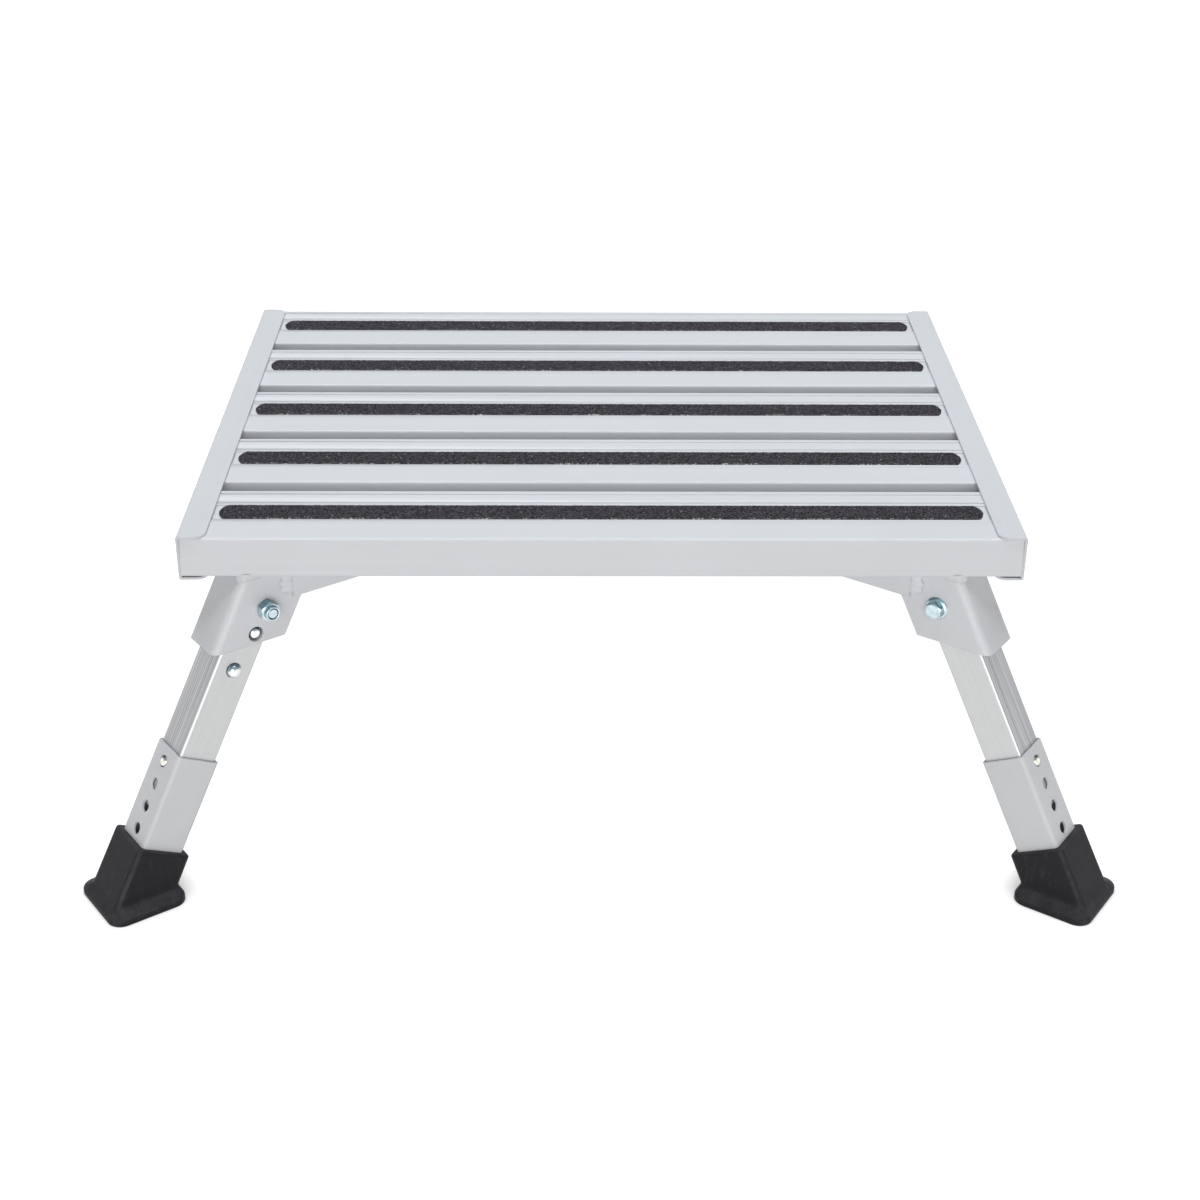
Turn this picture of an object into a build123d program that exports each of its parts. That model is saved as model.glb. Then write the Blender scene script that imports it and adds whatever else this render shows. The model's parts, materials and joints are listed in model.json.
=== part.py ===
from build123d import *
import os
from math import atan2, cos, degrees, radians, sin

# Folding caravan entry step: a slatted deck on four splayed legs.
# Millimetres, +Z up, origin on the floor under the middle of the deck, front edge towards -Y.

# Deck
deck_width = 482.6
deck_depth = 368.3
deck_height = 222.0
slat_count = 5
slat_gap = 9.7
slat_height = 23.0
slat_wall = 1.6
slat_edge_radius = 3.0
slat_foot_radius = 1.2
rib_spacing = 26.0
groove_width = 0.7
groove_depth = 0.4
groove_inset = 5.0

# Grip strips, one in a shallow recess of each slat
strip_end_inset = 19.3
strip_width = 17.6
strip_thickness = 0.9
strip_rear_offset = 3.8
strip_corner = 6.0
recess_depth = 0.5
recess_clearance = 0.3

# End channels, C sections that hold the slat ends
channel_height = 27.0
channel_sheet = 1.5
channel_top_flange = 16.3
channel_bottom_flange = 15.5
channel_setback = 1.0
channel_bend = 1.2
channel_top_corner = 7.0
channel_bottom_corner = 6.0

# Leg placing: the pivot bolt of each leg and the way the leg leans
pivot_side_inset = 38.0
pivot_end_inset = 18.9
pivot_drop = 48.0
pivot_inset = 2.2
leg_yaw = 35.3
leg_splay = 28.4

# Upper leg tube, from its round end at the pivot to its end inside the lower tube
upper_tube = 24.4
upper_wall = 1.6
upper_corner = 1.5
upper_overlap = 38.0

# Lower leg tube, which stands in the rubber foot
lower_tube = 27.9
lower_wall = 1.5
lower_corner = 2.6
lower_length = 84.3
lower_rise = 14.0
height_hole_radius = 3.6
height_hole_count = 4
height_hole_pitch = 14.85
height_hole_inset = 8.9

# Leg bracket, a folded sheet channel, and its two flat gusset bars
bracket_sheet = 3.0
bracket_gap = 0.7
bracket_web_gap = 4.2
bracket_bend = 4.8
bracket_depth = 41.0
bracket_drop = 21.2
gusset_thickness = 3.2
gusset_height = 19.8
gusset_start = 16.5
gusset_taper_start = 66.0
gusset_end = 88.0
gusset_tip = 6.0

# Pivot hardware
bolt_radius = 3.2
pivot_clearance = 0.05
bolt_flange_radius = 7.6
bolt_flange_height = 1.4
bolt_flange_slope = 20.0
bolt_head_flats = 11.1
bolt_head_height = 3.8
bolt_head_chamfer = 0.6
bolt_recess = 0.2
washer_radius = 5.4
washer_thickness = 0.6
nut_flats = 11.1
nut_height = 5.8
nut_collar_radius = 4.5
nut_collar_height = 2.8
nut_collar_edge = 0.6
spacer_radius = 7.6
spacer_clearance = 0.05

# Fold lock, along the leg from the pivot: a spring leaf with a lock button and a release button
lock_reach = 16.8
lock_inset = 2.6
lock_radius = 3.75
lock_hole_radius = 4.7
lock_recess = 0.2
lock_edge = 2.3
release_reach = 42.3
release_radius = 4.3
release_rise = 3.4
release_edge = 3.2
button_clearance = 0.3
leaf_sheet = 0.8
leaf_width = 14.0
leaf_tip_reach = 10.0
leaf_bend_reach = 51.0
leaf_back_reach = 32.0

# Height clip: a spring leaf with one button in the holes of the lower tube
height_button_radius = 3.2
height_button_rise = 0.8
height_button_edge = 1.8
clip_overhang = 7.5
clip_length = 11.0

# Rubber foot
foot_top_rise = 38.3
foot_top = 35.2
foot_top_corner = 3.4
foot_rim_radius = 1.6
foot_taper = 0.7
foot_sole_length = 48.5
foot_sole_width = 51.5
foot_sole_corner = 9.0
foot_sole_inset = 2.6
foot_flange = 3.4
foot_flange_radius = 1.4
foot_flare = 4.6
foot_neck_radius = 3.6

# Values worked out from the sizes above
slat_width = (deck_depth - (slat_count - 1) * slat_gap) / slat_count
slat_pitch = slat_width + slat_gap
slat_length = deck_width - 2 * channel_sheet
slat_top = deck_height - channel_sheet
slat_bottom = slat_top - slat_height
strip_length = deck_width - 2 * strip_end_inset
pivot_x = deck_width / 2 - pivot_side_inset
pivot_y = deck_depth / 2 - pivot_end_inset
pivot_height = deck_height - pivot_drop
bracket_top = slat_bottom - pivot_height
upper_half = upper_tube / 2
upper_inside = upper_half - upper_wall
lower_half = lower_tube / 2
cheek_inside = upper_half + bracket_gap
cheek_outside = cheek_inside + bracket_sheet
web_outside = upper_half + bracket_web_gap + bracket_sheet
pivot_hole_radius = bolt_radius + pivot_clearance
round_end = upper_half + pivot_inset

# Directions of one leg in its own frame: pivot at the origin, X outward, Y along the bolt, Z up
outward = Vector(cos(radians(leg_splay)), 0, sin(radians(leg_splay)))
up_leg = Vector(-sin(radians(leg_splay)), 0, cos(radians(leg_splay)))
leg_origin = outward * pivot_inset

# Distances along the leg, downward from the pivot
floor_reach = (pivot_height + leg_origin.Z) / up_leg.Z
foot_top_reach = floor_reach - foot_top_rise
lower_end = floor_reach - lower_rise
lower_start = lower_end - lower_length
upper_reach = lower_start + upper_overlap
height_hole_start = lower_start + height_hole_inset

# Planes of one leg
leg_plane = Plane(leg_origin, x_dir=outward, z_dir=up_leg)
side_plane = Plane(leg_origin, x_dir=-outward, z_dir=(0, 1, 0))
face_plane = Plane(leg_origin, x_dir=(0, 1, 0), z_dir=outward)
clip_plane = Plane(leg_origin, x_dir=outward, z_dir=(0, -1, 0))


def corner_place(side, end):
    """The place of one leg's frame under the deck, turned to face its corner."""
    yaw = degrees(atan2(end * sin(radians(leg_yaw)), side * cos(radians(leg_yaw))))
    return Location((side * pivot_x, end * pivot_y, pivot_height), (0, 0, yaw))


corners = {
    "front_left": corner_place(-1, -1),
    "front_right": corner_place(1, -1),
    "rear_right": corner_place(1, 1),
    "rear_left": corner_place(-1, 1),
}


def save(part, name):
    """Label one piece and write it to its own file."""
    part.label = name
    export_step(part, f"parts/{name}.step")


def save_at_corners(part, name):
    """Write one leg piece four times, once at each corner."""
    for corner, place in corners.items():
        save(part.moved(place), f"{name}_{corner}")


def save_group(part, name):
    """Write the four copies of one fastener as a single group of solids."""
    with BuildPart() as group:
        with Locations(*corners.values()):
            add(part)
    save(group.part, name)


def make_slat(y):
    """One hollow deck slat: rounded edges, a recess for the grip strip and two inner ribs."""
    strip_y = y + strip_rear_offset
    front = y - slat_width / 2
    rear = y + slat_width / 2
    ribs = (strip_y - rib_spacing / 2, strip_y + rib_spacing / 2)
    grooves = (*ribs, rear - groove_inset)
    walls = (front + slat_wall / 2, *ribs, rear - slat_wall / 2)
    cavity_height = slat_height - 2 * slat_wall - recess_depth
    cavity_middle = slat_bottom + slat_wall + cavity_height / 2
    with BuildPart() as slat:
        with BuildSketch(Plane.YZ) as section:
            with Locations((y, slat_bottom + slat_height / 2)):
                Rectangle(slat_width, slat_height)
            fillet(section.vertices().group_by(Axis.Y)[-1], slat_edge_radius)
            fillet(section.vertices().group_by(Axis.Y)[0], slat_foot_radius)
            with Locations((strip_y, slat_top)):
                Rectangle(strip_width + 2 * recess_clearance, 2 * recess_depth, mode=Mode.SUBTRACT)
            for groove in grooves:
                with Locations((groove, slat_top)):
                    Rectangle(groove_width, 2 * groove_depth, mode=Mode.SUBTRACT)
            for near, far in zip(walls, walls[1:]):
                with Locations(((near + far) / 2, cavity_middle)):
                    chamber = far - near - slat_wall
                    RectangleRounded(chamber, cavity_height, slat_foot_radius, mode=Mode.SUBTRACT)
        extrude(amount=slat_length / 2, both=True)
    return slat.part


def make_grip_strip(y):
    """One grit-coated strip, seated in the recess of its slat."""
    with BuildPart() as strip:
        with BuildSketch(Plane.XY.offset(slat_top - recess_depth)):
            with Locations((0, y + strip_rear_offset)):
                RectangleRounded(strip_length, strip_width, strip_corner)
        extrude(amount=strip_thickness)
    return strip.part


def make_end_channel():
    """The right-hand C channel: web outside, two flanges with rounded corners."""
    outside = deck_width / 2
    length = deck_depth - 2 * channel_setback
    top_edge = outside - channel_top_flange
    bottom_edge = outside - channel_bottom_flange
    low = deck_height - channel_height
    with BuildPart() as channel:
        with BuildSketch(Plane.XZ) as section:
            with BuildLine():
                Polyline(
                    (top_edge, deck_height),
                    (outside, deck_height),
                    (outside, low),
                    (bottom_edge, low),
                    (bottom_edge, low + channel_sheet),
                    (outside - channel_sheet, low + channel_sheet),
                    (outside - channel_sheet, slat_top),
                    (top_edge, slat_top),
                    close=True,
                )
            make_face()
            fillet(section.vertices().group_by(Axis.X)[-1], channel_bend)
        extrude(amount=length / 2, both=True)
        uprights = channel.edges().filter_by(Axis.Z).group_by(Axis.Z)
        fillet(uprights[-1].group_by(Axis.X)[0], channel_top_corner)
        fillet(uprights[0].group_by(Axis.X)[0], channel_bottom_corner)
    return channel.part


def make_leg_bracket():
    """The folded sheet channel that a leg swings in, cut level at the deck and at its foot."""
    middle = web_outside - bracket_depth / 2
    reach = bracket_depth + bracket_top + bracket_drop
    inner_side = (cheek_inside + cheek_outside) / 2
    with BuildPart() as bracket:
        with BuildSketch(leg_plane) as section:
            with Locations((middle, 0)):
                Rectangle(bracket_depth, 2 * cheek_outside)
            fillet(section.vertices().group_by(Axis.X)[-1], bracket_bend)
            with Locations((middle - bracket_sheet, 0)):
                Rectangle(bracket_depth, 2 * cheek_inside, mode=Mode.SUBTRACT)
            inner_corners = section.vertices().filter_by(lambda v: abs(v.Y) < inner_side)
            fillet(inner_corners.group_by(Axis.X)[1], bracket_bend - bracket_sheet)
        extrude(amount=reach, both=True)
        split(bisect_by=Plane.XY.offset(bracket_top), keep=Keep.BOTTOM)
        split(bisect_by=Plane.XY.offset(-bracket_drop), keep=Keep.TOP)
        with BuildSketch(Plane.XZ):
            Circle(pivot_hole_radius)
        extrude(amount=2 * cheek_outside, both=True, mode=Mode.SUBTRACT)
        with BuildSketch(side_plane):
            with Locations((lock_inset, -lock_reach)):
                Circle(lock_hole_radius)
        extrude(amount=2 * cheek_outside, mode=Mode.SUBTRACT)
    return bracket.part


def make_gussets():
    """The two flat bars on the outside of the bracket's cheeks, tapered at their inner ends."""
    low = bracket_top - gusset_height
    nut_side = Plane.XZ.offset(-cheek_outside)
    head_side = Plane.XZ.offset(cheek_outside + gusset_thickness)
    with BuildPart() as bars:
        with BuildSketch(nut_side, head_side):
            with BuildLine():
                Polyline(
                    (-gusset_start, bracket_top),
                    (-gusset_end, bracket_top),
                    (-gusset_end, bracket_top - gusset_tip),
                    (-gusset_taper_start, low),
                    (-gusset_start, low),
                    close=True,
                )
            make_face()
        extrude(amount=-gusset_thickness)
    return bars.part


def make_bolt():
    """A hex flange bolt through both cheeks, head on the -Y side."""
    grip = 2 * cheek_outside + washer_thickness
    tail = nut_height + nut_collar_height - bolt_recess
    head_plane = Plane.XZ.offset(cheek_outside)
    with BuildPart() as bolt:
        with BuildSketch(head_plane):
            Circle(bolt_radius)
        extrude(amount=-grip - tail)
        with BuildSketch(head_plane):
            Circle(bolt_flange_radius)
        extrude(amount=bolt_flange_height, taper=bolt_flange_slope)
        with BuildSketch(head_plane.offset(bolt_flange_height)):
            RegularPolygon(bolt_head_flats / 2, 6, major_radius=False)
        extrude(amount=bolt_head_height)
        chamfer(bolt.faces().sort_by(Axis.Y)[0].edges(), bolt_head_chamfer)
    return bolt.part


def make_washer():
    """The plain washer between the cheek and the nut."""
    with BuildPart() as washer:
        with BuildSketch(Plane.XZ.offset(-cheek_outside)):
            Circle(washer_radius)
            Circle(pivot_hole_radius, mode=Mode.SUBTRACT)
        extrude(amount=-washer_thickness)
    return washer.part


def make_nut():
    """The lock nut: a hexagon with a round collar."""
    nut_plane = Plane.XZ.offset(-cheek_outside - washer_thickness)
    with BuildPart() as nut:
        with BuildSketch(nut_plane):
            RegularPolygon(nut_flats / 2, 6, major_radius=False)
        extrude(amount=-nut_height)
        with BuildSketch(nut_plane.offset(-nut_height)):
            Circle(nut_collar_radius)
        extrude(amount=-nut_collar_height)
        fillet(nut.edges().group_by(Axis.Y)[-1], nut_collar_edge)
        with BuildSketch(nut_plane):
            Circle(pivot_hole_radius)
        extrude(amount=-nut_height - nut_collar_height, mode=Mode.SUBTRACT)
    return nut.part


def make_spacers():
    """The two thin discs on the cheeks, with running clearance to the leg tube between them."""
    near_tube = Plane.XZ.offset(upper_half + spacer_clearance)
    on_cheek = Plane.XZ.offset(-cheek_inside)
    with BuildPart() as spacers:
        with BuildSketch(near_tube, on_cheek):
            Circle(spacer_radius)
            Circle(pivot_hole_radius, mode=Mode.SUBTRACT)
        extrude(amount=bracket_gap - spacer_clearance)
    return spacers.part


def make_upper_leg():
    """The bare square tube with a round end at the pivot and its button holes."""
    with BuildPart() as tube:
        with BuildSketch(leg_plane.offset(-upper_reach)):
            RectangleRounded(upper_tube, upper_tube, upper_corner)
            Rectangle(2 * upper_inside, 2 * upper_inside, mode=Mode.SUBTRACT)
        extrude(amount=upper_reach + round_end)
        with BuildSketch(side_plane):
            with Locations((0, -upper_reach / 2)):
                Rectangle(upper_tube, upper_reach)
            with Locations((pivot_inset, 0)):
                Circle(round_end)
        extrude(amount=upper_tube, both=True, mode=Mode.INTERSECT)
        with BuildSketch(Plane.XZ):
            Circle(pivot_hole_radius)
        extrude(amount=upper_tube, both=True, mode=Mode.SUBTRACT)
        with BuildSketch(side_plane):
            with Locations((lock_inset, -lock_reach)):
                Circle(lock_radius + button_clearance)
            with Locations((0, -release_reach)):
                Circle(release_radius + button_clearance)
        extrude(amount=upper_tube, mode=Mode.SUBTRACT)
        with BuildSketch(face_plane):
            with Locations((0, -height_hole_start)):
                Circle(height_button_radius + button_clearance)
        extrude(amount=upper_tube, mode=Mode.SUBTRACT)
    return tube.part


def make_lower_leg():
    """The painted outer tube with a row of height holes through both walls."""
    bore = lower_tube - 2 * lower_wall
    with BuildPart() as tube:
        with BuildSketch(leg_plane.offset(-lower_end)):
            RectangleRounded(lower_tube, lower_tube, lower_corner)
            Rectangle(bore, bore, mode=Mode.SUBTRACT)
        extrude(amount=lower_end - lower_start)
        with BuildSketch(face_plane):
            for step in range(height_hole_count):
                with Locations((0, -height_hole_start - step * height_hole_pitch)):
                    Circle(height_hole_radius)
        extrude(amount=lower_tube, both=True, mode=Mode.SUBTRACT)
    return tube.part


def make_spring_leaf(plane, tip, bend, back):
    """A U-shaped spring strip: its front arm lies on the wall that the buttons pass through."""
    arm = upper_inside - leaf_sheet / 2
    turn = arm if bend < tip else -arm
    with BuildPart() as leaf:
        with BuildSketch(plane):
            with BuildLine():
                Line((arm, -tip), (arm, -bend))
                ThreePointArc((arm, -bend), (0, turn - bend), (-arm, -bend))
                Line((-arm, -bend), (-arm, -back))
            trace(line_width=leaf_sheet)
        extrude(amount=leaf_width / 2, both=True)
    return leaf.part


def make_fold_buttons():
    """The lock button in the cheek's hole and the domed release button below the bracket."""
    base = side_plane.offset(upper_inside)
    lock_length = cheek_outside - lock_recess - upper_inside
    release_length = upper_half + release_rise - upper_inside
    with BuildPart() as buttons:
        with BuildSketch(base):
            with Locations((lock_inset, -lock_reach)):
                Circle(lock_radius)
        extrude(amount=lock_length)
        fillet(buttons.edges().group_by(Axis.Y)[-1], lock_edge)
        with BuildSketch(base):
            with Locations((0, -release_reach)):
                Circle(release_radius)
        extrude(amount=release_length)
        release = buttons.solids().sort_by(Axis.Z)[0]
        fillet(release.edges().group_by(Axis.Y)[-1], release_edge)
    return buttons.part


def make_height_button():
    """The domed button that locks the lower tube at one of its holes."""
    length = lower_half + height_button_rise - upper_inside
    with BuildPart() as button:
        with BuildSketch(face_plane.offset(upper_inside)):
            with Locations((0, -height_hole_start)):
                Circle(height_button_radius)
        extrude(amount=length)
        tip = button.edges().group_by(Axis((0, 0, 0), tuple(outward)))[-1]
        fillet(tip, height_button_edge)
    return button.part


def make_rubber_foot():
    """The moulded boot: a level sole that flares out from the socket along the leg."""
    sole_top = foot_flange - pivot_height
    flare_top = sole_top + foot_flare
    floor_x = leg_origin.X + floor_reach * outward.Z
    flare_x = floor_x - (foot_flange + foot_flare) * outward.Z / outward.X
    sole_x = floor_x - foot_sole_inset
    with BuildPart() as foot:
        with BuildSketch(Plane((sole_x, 0, -pivot_height))):
            RectangleRounded(foot_sole_length, foot_sole_width, foot_sole_corner)
        extrude(amount=foot_flange)
        with BuildSketch(Plane((sole_x, 0, sole_top))):
            RectangleRounded(foot_sole_length, foot_sole_width, foot_sole_corner)
        with BuildSketch(Plane((flare_x, 0, flare_top))):
            RectangleRounded(foot_top / outward.X, foot_top, foot_top_corner)
        loft()
        edge = foot.edges().filter_by_position(Axis.Z, sole_top, sole_top)
        fillet(edge, foot_flange_radius)
        with BuildPart(mode=Mode.PRIVATE) as socket:
            with BuildSketch(leg_plane.offset(-foot_top_reach)):
                RectangleRounded(foot_top, foot_top, foot_top_corner)
            extrude(amount=-floor_reach, taper=-foot_taper)
            split(bisect_by=Plane.XY.offset(-pivot_height), keep=Keep.TOP)
            rim = socket.faces().sort_by(Axis((0, 0, 0), tuple(up_leg)))[-1]
            fillet(rim.edges(), foot_rim_radius)
        add(socket.part)
        neck = foot.edges().filter_by_position(Axis.Z, sole_top + foot_flare / 2, flare_top)
        fillet(neck, foot_neck_radius)
        with BuildSketch(leg_plane.offset(-lower_end)):
            RectangleRounded(lower_tube, lower_tube, lower_corner)
        extrude(amount=lower_end - foot_top_reach, mode=Mode.SUBTRACT)
    return foot.part


os.makedirs("parts", exist_ok=True)

for number in range(slat_count):
    slat_y = ((slat_count - 1) / 2 - number) * slat_pitch
    save(make_slat(slat_y), f"slat_{number + 1}")
    save(make_grip_strip(slat_y), f"grip_strip_{number + 1}")

right_channel = make_end_channel()
save(right_channel, "end_channel_right")
save(mirror(right_channel, about=Plane.YZ), "end_channel_left")

save_at_corners(make_leg_bracket(), "leg_bracket")
save_at_corners(make_gussets(), "gusset_bars")
save_group(make_bolt(), "pivot_bolts")
save_group(make_washer(), "pivot_washers")
save_group(make_nut(), "pivot_nuts")
save_group(make_spacers(), "pivot_spacers")

save_at_corners(make_upper_leg(), "upper_leg")
fold_spring = make_spring_leaf(face_plane, leaf_tip_reach, leaf_bend_reach, leaf_back_reach)
save_at_corners(fold_spring, "fold_spring")
save_at_corners(make_fold_buttons(), "fold_buttons")
clip_tip = height_hole_start + clip_overhang
clip_bend = height_hole_start - clip_length
height_spring = make_spring_leaf(clip_plane, clip_tip, clip_bend, height_hole_start)
save_at_corners(height_spring, "height_spring")
save_at_corners(make_lower_leg(), "lower_leg")
save_at_corners(make_height_button(), "height_button")
save_at_corners(make_rubber_foot(), "rubber_foot")
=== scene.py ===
# %% [markdown]
# # A folding caravan entry step
# The step is a deck of five painted slats on four splayed legs. The solids come from the CAD model, which
# also says how each leg folds and slides. This notebook dresses them: it gives every solid a finish, makes
# the slats and grip strips again with finer edges, adds the welds and the fasteners as worked-out surfaces,
# and builds a plain white studio round the result.
#
# The model is loaded first, and its box is kept, so that the last cell can show that nothing has grown.

# %% Load the frame
import json
from math import cos, pi, sin

import bmesh
import bpy
import numpy as np
from mathutils import Matrix, Vector


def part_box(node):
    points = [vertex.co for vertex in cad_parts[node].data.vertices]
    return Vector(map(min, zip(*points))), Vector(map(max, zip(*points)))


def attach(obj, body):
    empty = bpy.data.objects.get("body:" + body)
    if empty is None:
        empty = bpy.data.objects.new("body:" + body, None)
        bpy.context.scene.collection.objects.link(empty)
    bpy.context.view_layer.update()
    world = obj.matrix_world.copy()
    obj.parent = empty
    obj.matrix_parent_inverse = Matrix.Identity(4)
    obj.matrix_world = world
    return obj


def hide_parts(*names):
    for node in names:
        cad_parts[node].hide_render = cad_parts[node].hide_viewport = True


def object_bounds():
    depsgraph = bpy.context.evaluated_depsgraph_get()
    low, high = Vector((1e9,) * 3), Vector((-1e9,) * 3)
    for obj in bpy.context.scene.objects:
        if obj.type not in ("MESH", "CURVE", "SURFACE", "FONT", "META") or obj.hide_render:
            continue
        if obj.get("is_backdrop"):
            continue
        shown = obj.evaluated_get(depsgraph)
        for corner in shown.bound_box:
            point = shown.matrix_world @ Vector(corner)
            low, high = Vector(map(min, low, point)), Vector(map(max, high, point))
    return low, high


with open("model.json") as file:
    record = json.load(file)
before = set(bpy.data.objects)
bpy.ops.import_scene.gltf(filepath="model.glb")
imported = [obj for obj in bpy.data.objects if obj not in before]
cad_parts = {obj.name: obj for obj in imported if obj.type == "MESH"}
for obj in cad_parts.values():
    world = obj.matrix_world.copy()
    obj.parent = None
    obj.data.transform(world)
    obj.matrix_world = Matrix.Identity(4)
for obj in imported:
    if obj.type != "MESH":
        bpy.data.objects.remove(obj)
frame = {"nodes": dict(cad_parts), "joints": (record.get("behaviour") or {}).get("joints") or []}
nodes = frame["nodes"]
cad_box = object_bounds()
print("CAD nodes:", len(nodes))
print("CAD box in mm:", [[round(1000 * v, 1) for v in corner] for corner in cad_box])

# %% [markdown]
# ## Camera
# A camera is a place, a direction and a lens. The six corners of the deck in the photograph are enough to
# solve all three, because a rectangle of known width seen in perspective fits only one viewpoint. The view
# is from a little above, about 1.2 m in front of the deck. The solved angles are written as pitch, yaw and
# roll, and turned into the three axes of the camera, which looks along its own -Z.

# %% Place the camera where the photograph was taken from
image_pixels = 1200
focal_pixels = 1993.98
sensor_mm = 36.0
pitch, yaw, roll = 0.4993, 0.01474, 0.0078
deck_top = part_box("end_channel_left")[1].z
camera_place = Vector((-0.01615, -1.18927, deck_top + 0.50883))

ahead = Vector((sin(yaw) * cos(pitch), cos(yaw) * cos(pitch), -sin(pitch)))
level_right = Vector((cos(yaw), -sin(yaw), 0))
level_up = level_right.cross(ahead)
camera_right = level_right * cos(roll) + level_up * sin(roll)
camera_up = level_up * cos(roll) - level_right * sin(roll)
camera_turn = Matrix((camera_right, camera_up, -ahead)).transposed().to_4x4()

camera = bpy.data.cameras.new("photo_camera")
camera.sensor_width = sensor_mm
camera.lens = sensor_mm * focal_pixels / image_pixels
camera_object = bpy.data.objects.new("photo_camera", camera)
camera_object.matrix_world = Matrix.Translation(camera_place) @ camera_turn
bpy.context.scene.collection.objects.link(camera_object)
bpy.context.scene.camera = camera_object
print("Lens:", round(camera.lens, 2), "mm, height above the floor:", round(camera_place.z, 3), "m")

# %% [markdown]
# ## Arithmetic on sockets
# A Blender material is a graph of nodes. Wiring it by hand takes many lines for one sum, so a small class
# holds a socket and answers to Python's operators: each operator adds one Math node. Every other kind of
# node comes from a single method, which sets the node's options first and then fills its sockets with
# numbers or links. That way a finish below reads like the formula that it is.

# %% A socket with operators, and a tree that adds nodes


class Signal:
    """One output socket of a node tree, on which sums can be written."""

    def __init__(self, tree, socket):
        self.tree = tree
        self.socket = socket

    def math(self, operation, first, second):
        return self.tree.add("ShaderNodeMath", {"operation": operation}, {0: first, 1: second})

    def __add__(self, other):
        return self.math("ADD", self, other)

    def __radd__(self, other):
        return self.math("ADD", other, self)

    def __sub__(self, other):
        return self.math("SUBTRACT", self, other)

    def __rsub__(self, other):
        return self.math("SUBTRACT", other, self)

    def __mul__(self, other):
        return self.math("MULTIPLY", self, other)

    def __rmul__(self, other):
        return self.math("MULTIPLY", other, self)

    def __mod__(self, other):
        return self.math("FLOORED_MODULO", self, other)

    def __rmod__(self, other):
        return self.math("FLOORED_MODULO", other, self)


class Tree:
    """The nodes of one material or of the world, with one method that adds any node."""

    def __init__(self, node_tree):
        self.nodes = node_tree.nodes
        self.links = node_tree.links

    def fill(self, socket, value):
        if isinstance(value, Signal):
            self.links.new(value.socket, socket)
        else:
            socket.default_value = value

    def add(self, kind, settings=None, sockets=None, output=0):
        node = self.nodes.new(kind)
        for name, value in (settings or {}).items():
            setattr(node, name, value)
        for key, value in (sockets or {}).items():
            self.fill(self.pick(node.inputs, key), value)
        return Signal(self, self.pick(node.outputs, output))

    def pick(self, sockets, key):
        """A socket by its number, or the first one with that identifier or name."""
        if isinstance(key, int):
            return sockets[key]
        return next(s for s in sockets if key in (s.identifier, s.name))


print("Operators:", [name for name in vars(Signal) if name.startswith("__r")])

# %% [markdown]
# ## Studio
# The photograph has soft light and a pure white ground with only a breath of shadow at the feet. The tops of
# the slats are the brightest and coolest faces, the rail in front is a little darker and warmer, and the
# bends of the brackets, which face the camera, carry a bright line. So a fifth of the light is a white world,
# and the rest comes from two wide lamps: a cool one overhead and a warmer one low behind the camera, which
# reaches under the deck. Light adds up, so the strength of each lamp was fitted from what that lamp gives
# alone.
# The floor is white paint that also glows, but only for rays that come from the camera or from a mirror. It
# glows less where something stands close by, a painted shadow at the boots, and a little more far away, where
# the lamps grow weak: so it looks white to the horizon, and no extra light falls on the step.

# %% World
white = (1.0, 1.0, 1.0, 1.0)
world_strength = 0.2
world = bpy.data.worlds.new("white_room")
bpy.context.scene.world = world
world.use_nodes = True
world_tree = Tree(world.node_tree)


def seen_directly(tree):
    """1 for rays from the camera, a mirror or glass, and 0 for the rays that carry light."""
    path = tree.add("ShaderNodeLightPath", output="Is Camera Ray")
    outputs = path.socket.node.outputs
    direct = path + Signal(tree, outputs["Is Glossy Ray"]) + Signal(tree, outputs["Is Transmission Ray"])
    return tree.add("ShaderNodeClamp", None, {"Value": direct})


background = world.node_tree.nodes["Background"]
background.inputs["Color"].default_value = white
visible = seen_directly(world_tree)
world_tree.fill(background.inputs["Strength"], world_strength + (1 - world_strength) * visible)
bpy.context.scene.view_settings.view_transform = "Standard"
print("World strength for light:", world_strength)

# %% Floor
floor_half = 14.0
floor_tone = 0.8
floor_glow = 0.44
glow_strength = 1.87
far_glow = 0.12
far_from, far_to = 0.6, 2.5
shadow_reach = 0.016
occlusion_rays = 8
black = (0.0, 0.0, 0.0, 1.0)
floor_paint = bpy.data.materials.new("studio_floor")
floor_paint.use_nodes = True
floor_tree = Tree(floor_paint.node_tree)
floor_tree.nodes.remove(floor_tree.nodes["Principled BSDF"])
floor_matt = floor_tree.add("ShaderNodeBsdfDiffuse", None, {"Color": (*[floor_tone] * 3, 1.0)})
reach = {"Distance": shadow_reach}
rays = {"samples": occlusion_rays}
# Painted shadow: the glow dims where something stands close by, as at the boots.
open_floor = floor_tree.add("ShaderNodeAmbientOcclusion", rays, reach, output="AO")
glow_sockets = {"Factor_Float": open_floor, "A_Color": black, "B_Color": white}
glow = floor_tree.add("ShaderNodeMix", {"data_type": "RGBA"}, glow_sockets, output="Result_Color")
floor_light = floor_tree.add("ShaderNodeEmission", None, {"Color": glow, "Strength": glow_strength})
floor_place = floor_tree.add("ShaderNodeTexCoord", output="Object")
distance = floor_tree.add("ShaderNodeVectorMath", {"operation": "LENGTH"}, {0: floor_place}, output="Value")
far_sockets = {"Value": distance, "From Min": far_from, "From Max": far_to}
far = floor_tree.add("ShaderNodeMapRange", None, far_sockets)
glow_share = (floor_glow + far_glow * far) * seen_directly(floor_tree)
floor_mix = floor_tree.add("ShaderNodeMixShader", None, {0: glow_share, 1: floor_matt, 2: floor_light})
floor_tree.fill(floor_tree.nodes["Material Output"].inputs["Surface"], floor_mix)

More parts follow.
